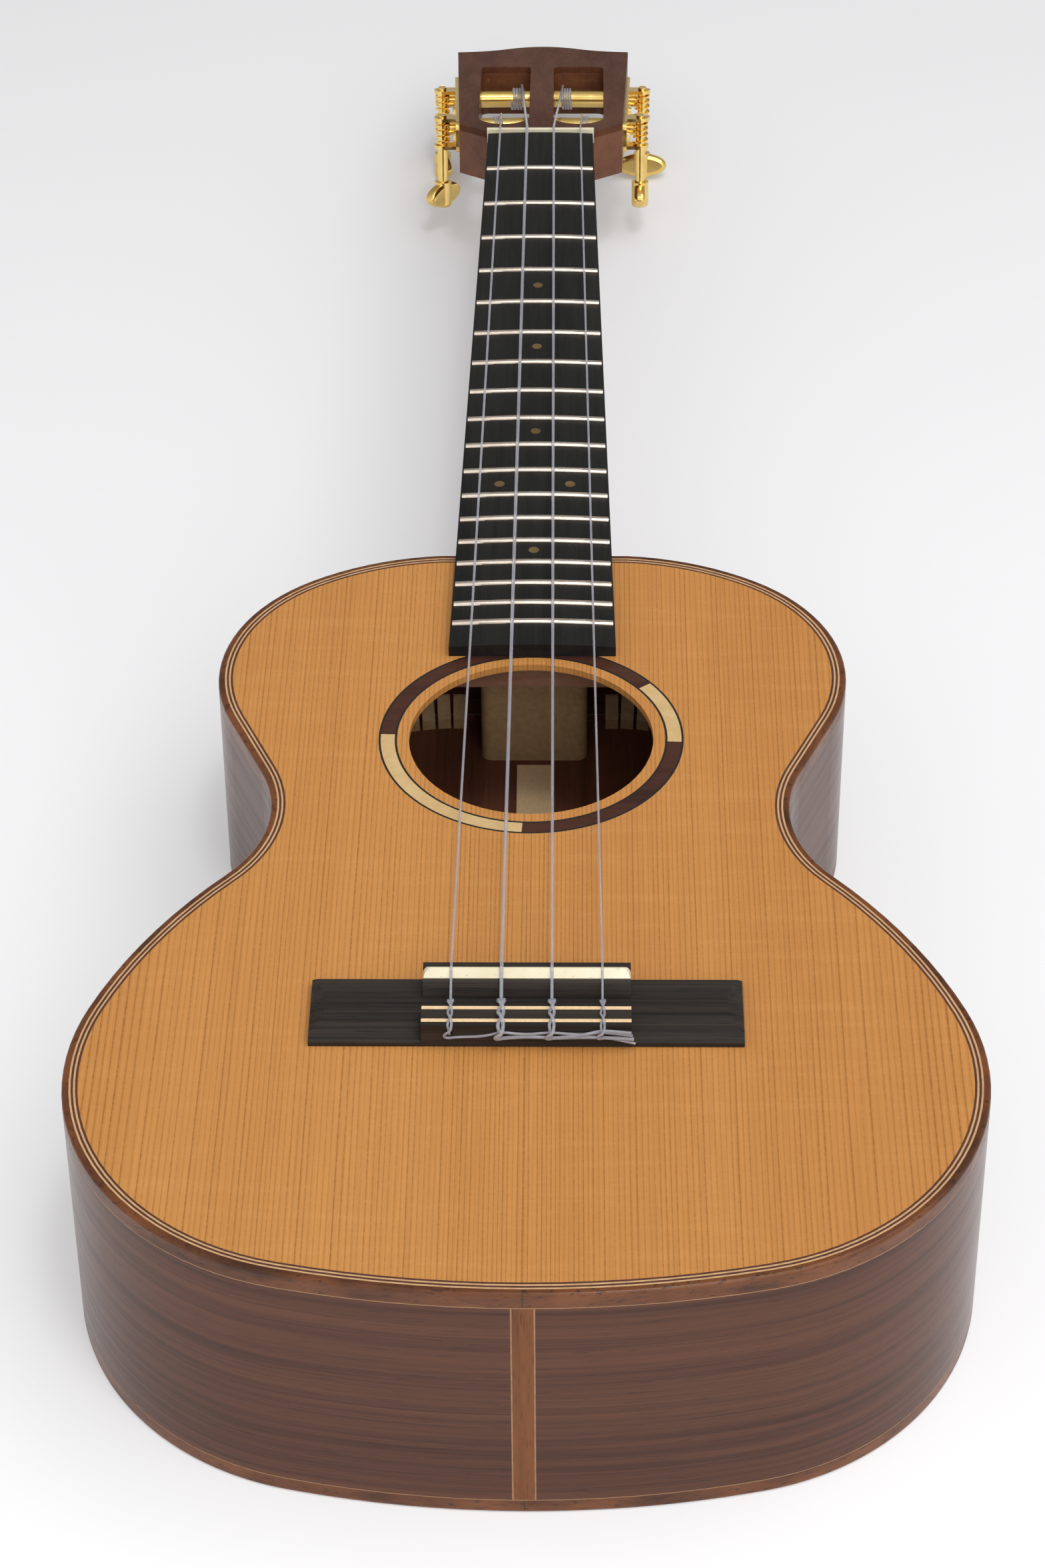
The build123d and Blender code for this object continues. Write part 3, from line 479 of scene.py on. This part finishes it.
def make_ties(line):
    """The ties ride on the instrument; each starts in its hole, where the CAD string ends"""
    rear = reach("bridge", ahead)[0]
    height = reach("bridge_inlays", up)[1]
    for name, radius in zip(string_names, string_radii):
        string = nodes[f"string_{name}"].data
        rear_end = [vertex.co for vertex in string.vertices if vertex.co.dot(ahead) < rear + end_reach]
        x = sum(point.x for point in rear_end) / len(rear_end) / mm
        lift = radius + (rear_gap if name == "g" else tail_gap)
        tail = [(right - x, forward, over) for right, forward, over in tails[name]]
        points = [
            Vector((x + right, 0, 0)) * mm + ahead * (rear + forward * mm) + up * (height + over * mm)
            for right, forward, over in tie_points(radius, lift, tail)
        ]
        piece = smooth_cord(f"tie_{name}", points, radius * mm)
        piece.data.materials.append(line)
        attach(piece, "ukulele")


# Kerfed linings ----------------------------------------------------------------------------------

lining_pitch = 5.0 * mm
kerf = 1.2 * mm
lining_height = 10.0 * mm
lining_depth = 5.0 * mm
lining_spine = 1.0 * mm
lining_toe = 1.6 * mm  # thickness at the lining's free edge
full_share = 0.35  # share of the height that has the full depth
block_gap = 0.2 * mm  # between a tooth and the neck or tail block
waist_y = -0.128  # middle of the waist, metres along Y
wall_rays = 720


def wall_line(height):
    """Points round the inside of the side wall at a height, seen from the middle of the waist"""
    waist = Vector((0.0, waist_y, height))
    trees = []
    for node in ("side_left", "side_right", "end_graft", "side_lines"):
        mesh = nodes[node].data
        corners = [vertex.co for vertex in mesh.vertices]
        trees.append(BVHTree.FromPolygons(corners, [face.vertices for face in mesh.polygons]))
    line = []
    for index in range(wall_rays):
        angle = 2 * pi * index / wall_rays
        direction = Vector((cos(angle), sin(angle), 0.0))
        hits = [tree.ray_cast(waist, direction) for tree in trees]
        hits = [hit[0] for hit in hits if hit[0] is not None]
        line.append(min(hits, key=lambda point: (point - waist).length))
    return line


def spaced(line, pitch):
    """Evenly spaced points along a closed line, each with its direction"""
    spots = []
    carried = 0.0
    for start, end in zip(line, line[1:] + line[:1]):
        step = end - start
        while carried < step.length:
            spots.append((start + step.normalized() * carried, step.normalized()))
            carried += pitch
        carried -= step.length
    return spots


def add_block(mesh, foot, direction, width, profile):
    """One block: a five-cornered profile, set out from its foot and drawn along the wall"""
    half = direction * width / 2
    near = [mesh.verts.new(foot - half + corner) for corner in profile]
    far = [mesh.verts.new(foot + half + corner) for corner in profile]
    mesh.faces.new(near)
    mesh.faces.new(far[::-1])
    for index in range(len(profile)):
        following = (index + 1) % len(profile)
        mesh.faces.new([near[following], near[index], far[index], far[following]])


def make_linings(material):
    """One tooth between every two saw kerfs, on a thin spine against the wall"""
    low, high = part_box("linings")
    clear = lining_pitch / 2 + block_gap
    neck_half, tail_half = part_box("neck_block")[1].x + clear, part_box("tail_block")[1].x + clear
    mesh = bmesh.new()
    down = plate_normal("back_plate", -1)
    back_reach = reach("back_plate", -down)[1]
    top_reach = reach("soundboard", up)[0]
    level = wall_line((low.z + high.z) / 2)
    for spot, direction in spaced(level, lining_pitch):
        if abs(spot.x) < (neck_half if spot.y > waist_y else tail_half):
            continue
        inward = Vector((-direction.y, direction.x, 0.0))
        top_z = (top_reach - spot.y * up.y) / up.z
        back_z = (back_reach + spot.y * down.y) / -down.z
        for base, sense in ((top_z, -1.0), (back_z, 1.0)):
            rise = Vector((0, 0, sense * lining_height))
            foot = Vector((spot.x, spot.y, base))
            for width, thick, toe in (
                (lining_pitch - kerf, lining_depth, lining_toe),
                (lining_pitch, lining_spine, lining_spine),
            ):
                profile = [
                    Vector((0, 0, 0)),
                    inward * thick,
                    inward * thick + rise * full_share,
                    inward * toe + rise,
                    rise,
                ]
                add_block(mesh, foot, direction, width, profile)
    bmesh.ops.recalc_face_normals(mesh, faces=mesh.faces)
    data = bpy.data.meshes.new("kerfed_linings")
    mesh.to_mesh(data)
    mesh.free()
    data.materials.append(material)
    piece = bpy.data.objects.new("kerfed_linings", data)
    bpy.context.scene.collection.objects.link(piece)
    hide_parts("linings")
    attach(piece, "ukulele")


# Stage -------------------------------------------------------------------------------------------


def make_floor():
    """Pale table with a painted glow, stronger at the front and weaker beyond the head, which lightens the
    shadows on it
    """
    g = Graph("paper", IOR=1.3, Specular_IOR_Level=0.2)
    cloud = g.noise((3, 3, 3), 3)
    colour = g.ramp(cloud, (0.3, (0.660, 0.662, 0.675)), (0.7, (0.645, 0.647, 0.660)))
    y = g.axes()["Y"]
    # Painted light: the floor glows, more at the front and less beyond the head, so the shadows on it come
    # out lighter
    g.shader.inputs["Emission Color"].default_value = (0.995, 0.99, 1.0, 1.0)
    g.plug(g.shader.inputs["Emission Strength"], g.span(y, -0.4, 0.4, 0.36, 0.13))
    g.finish(colour, g.span(cloud, 0.3, 0.7, 0.75, 0.85), cloud, 0.00001)
    bpy.ops.mesh.primitive_plane_add(size=40.0, location=(0, 0, 0))
    floor = bpy.context.object
    floor.name = "floor"
    floor.data.materials.append(g.material)


def area_light(name, place, aim, size, power):
    """Rectangular light at a place in metres, turned towards its aim; power in watts"""
    data = bpy.data.lights.new(name, "AREA")
    data.shape = "RECTANGLE"
    data.size, data.size_y = size
    data.energy = power
    light = bpy.data.objects.new(name, data)
    light.location = place
    light.rotation_euler = (Vector(aim) - Vector(place)).to_track_quat("-Z", "Y").to_euler()
    bpy.context.scene.collection.objects.link(light)


def make_light():
    """Soft light from the front and above; the surroundings darken beyond the head"""
    world = bpy.data.worlds.new("studio")
    world.use_nodes = True
    tree = world.node_tree
    background = tree.nodes["Background"]
    background.inputs["Color"].default_value = (1.0, 0.992, 0.985, 1.0)
    direction = tree.nodes.new("ShaderNodeTexCoord")
    parts = tree.nodes.new("ShaderNodeSeparateXYZ")
    strength = tree.nodes.new("ShaderNodeMapRange")
    for socket, value in (("From Min", -0.9), ("From Max", 0.9), ("To Min", 0.95), ("To Max", 0.28)):
        strength.inputs[socket].default_value = value
    tree.links.new(direction.outputs["Generated"], parts.inputs[0])
    tree.links.new(parts.outputs["Y"], strength.inputs["Value"])
    tree.links.new(strength.outputs[0], background.inputs["Strength"])
    bpy.context.scene.world = world
    area_light("overhead", (0.9, -0.2, 2.2), (0, -0.1, 0), (2.2, 1.8), 18.5)
    area_light("front", (0.8, -1.9, 1.5), (0, -0.25, 0), (1.5, 1.2), 11.0)
    area_light("sparkle", (0.3, -0.7, 2.4), (0, 0.1, 0), (0.35, 0.35), 8.0)
    bpy.context.scene.view_settings.view_transform = "Standard"


# Scene -------------------------------------------------------------------------------------------

make_camera()
string_material, lining_material = paint_all()
make_ties(string_material)
make_linings(lining_material)
make_floor()
make_light()
